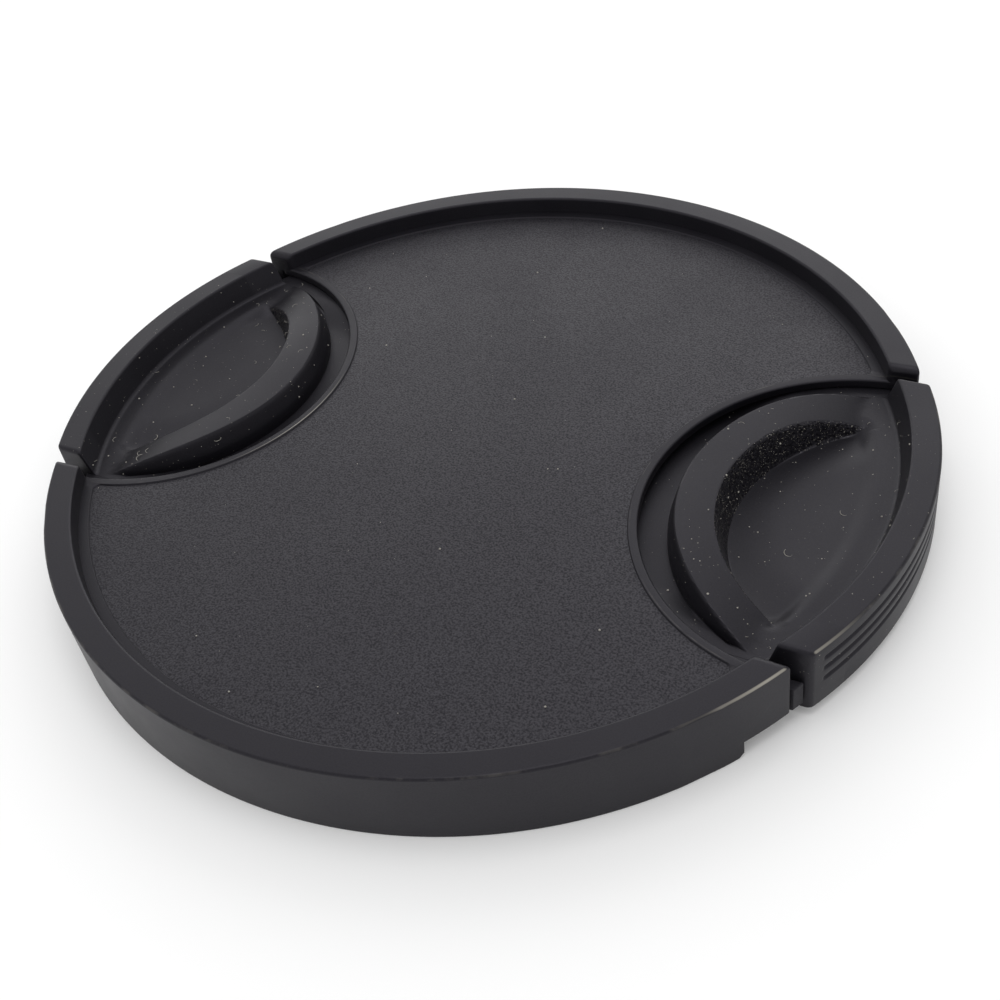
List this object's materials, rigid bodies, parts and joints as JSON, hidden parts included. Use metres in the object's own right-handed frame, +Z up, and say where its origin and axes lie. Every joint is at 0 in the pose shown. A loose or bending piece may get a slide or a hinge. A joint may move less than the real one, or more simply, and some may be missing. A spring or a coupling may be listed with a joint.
{
  "type": "camera lens cap",
  "caption": "Round pinch-release lens cap: grained front panel in a raised rim, sprung sliding latches with finger pockets and ridges, and hooks for a filter thread.",
  "frame": {"origin": "centre of the cap's base, at the bottom of the skirt", "axes": "+Z up through the front panel, +X along the axis on which the two latches slide"},
  "size_m": [0.0882, 0.086, 0.0078],
  "materials": {
    "cover": "fine leather grain with smooth borders, moulded",
    "latch": "satin, moulded",
    "back": "matte, moulded",
    "spring": "drawn spring wire"
  },
  "bodies": {
    "cap_body": {"front_cover": "cover", "back_plate": "back", "spring_right_near": "spring", "spring_right_far": "spring", "spring_left_near": "spring", "spring_left_far": "spring"},
    "right_latch": {"latch_right": "latch"},
    "left_latch": {"latch_left": "latch"}
  },
  "joints": [
    {"name": "right_latch_slide", "type": "slide", "parent": "cap_body", "child": "right_latch", "axis": [-1, 0, 0], "range_m": [0, 0.0017], "stiffness_N_per_m": 700, "springref_m": -0.006, "deforming": ["spring_right_near", "spring_right_far"]},
    {"name": "left_latch_slide", "type": "slide", "parent": "cap_body", "child": "left_latch", "axis": [1, 0, 0], "range_m": [0, 0.0017], "stiffness_N_per_m": 700, "springref_m": -0.006, "deforming": ["spring_left_near", "spring_left_far"]}
  ]
}
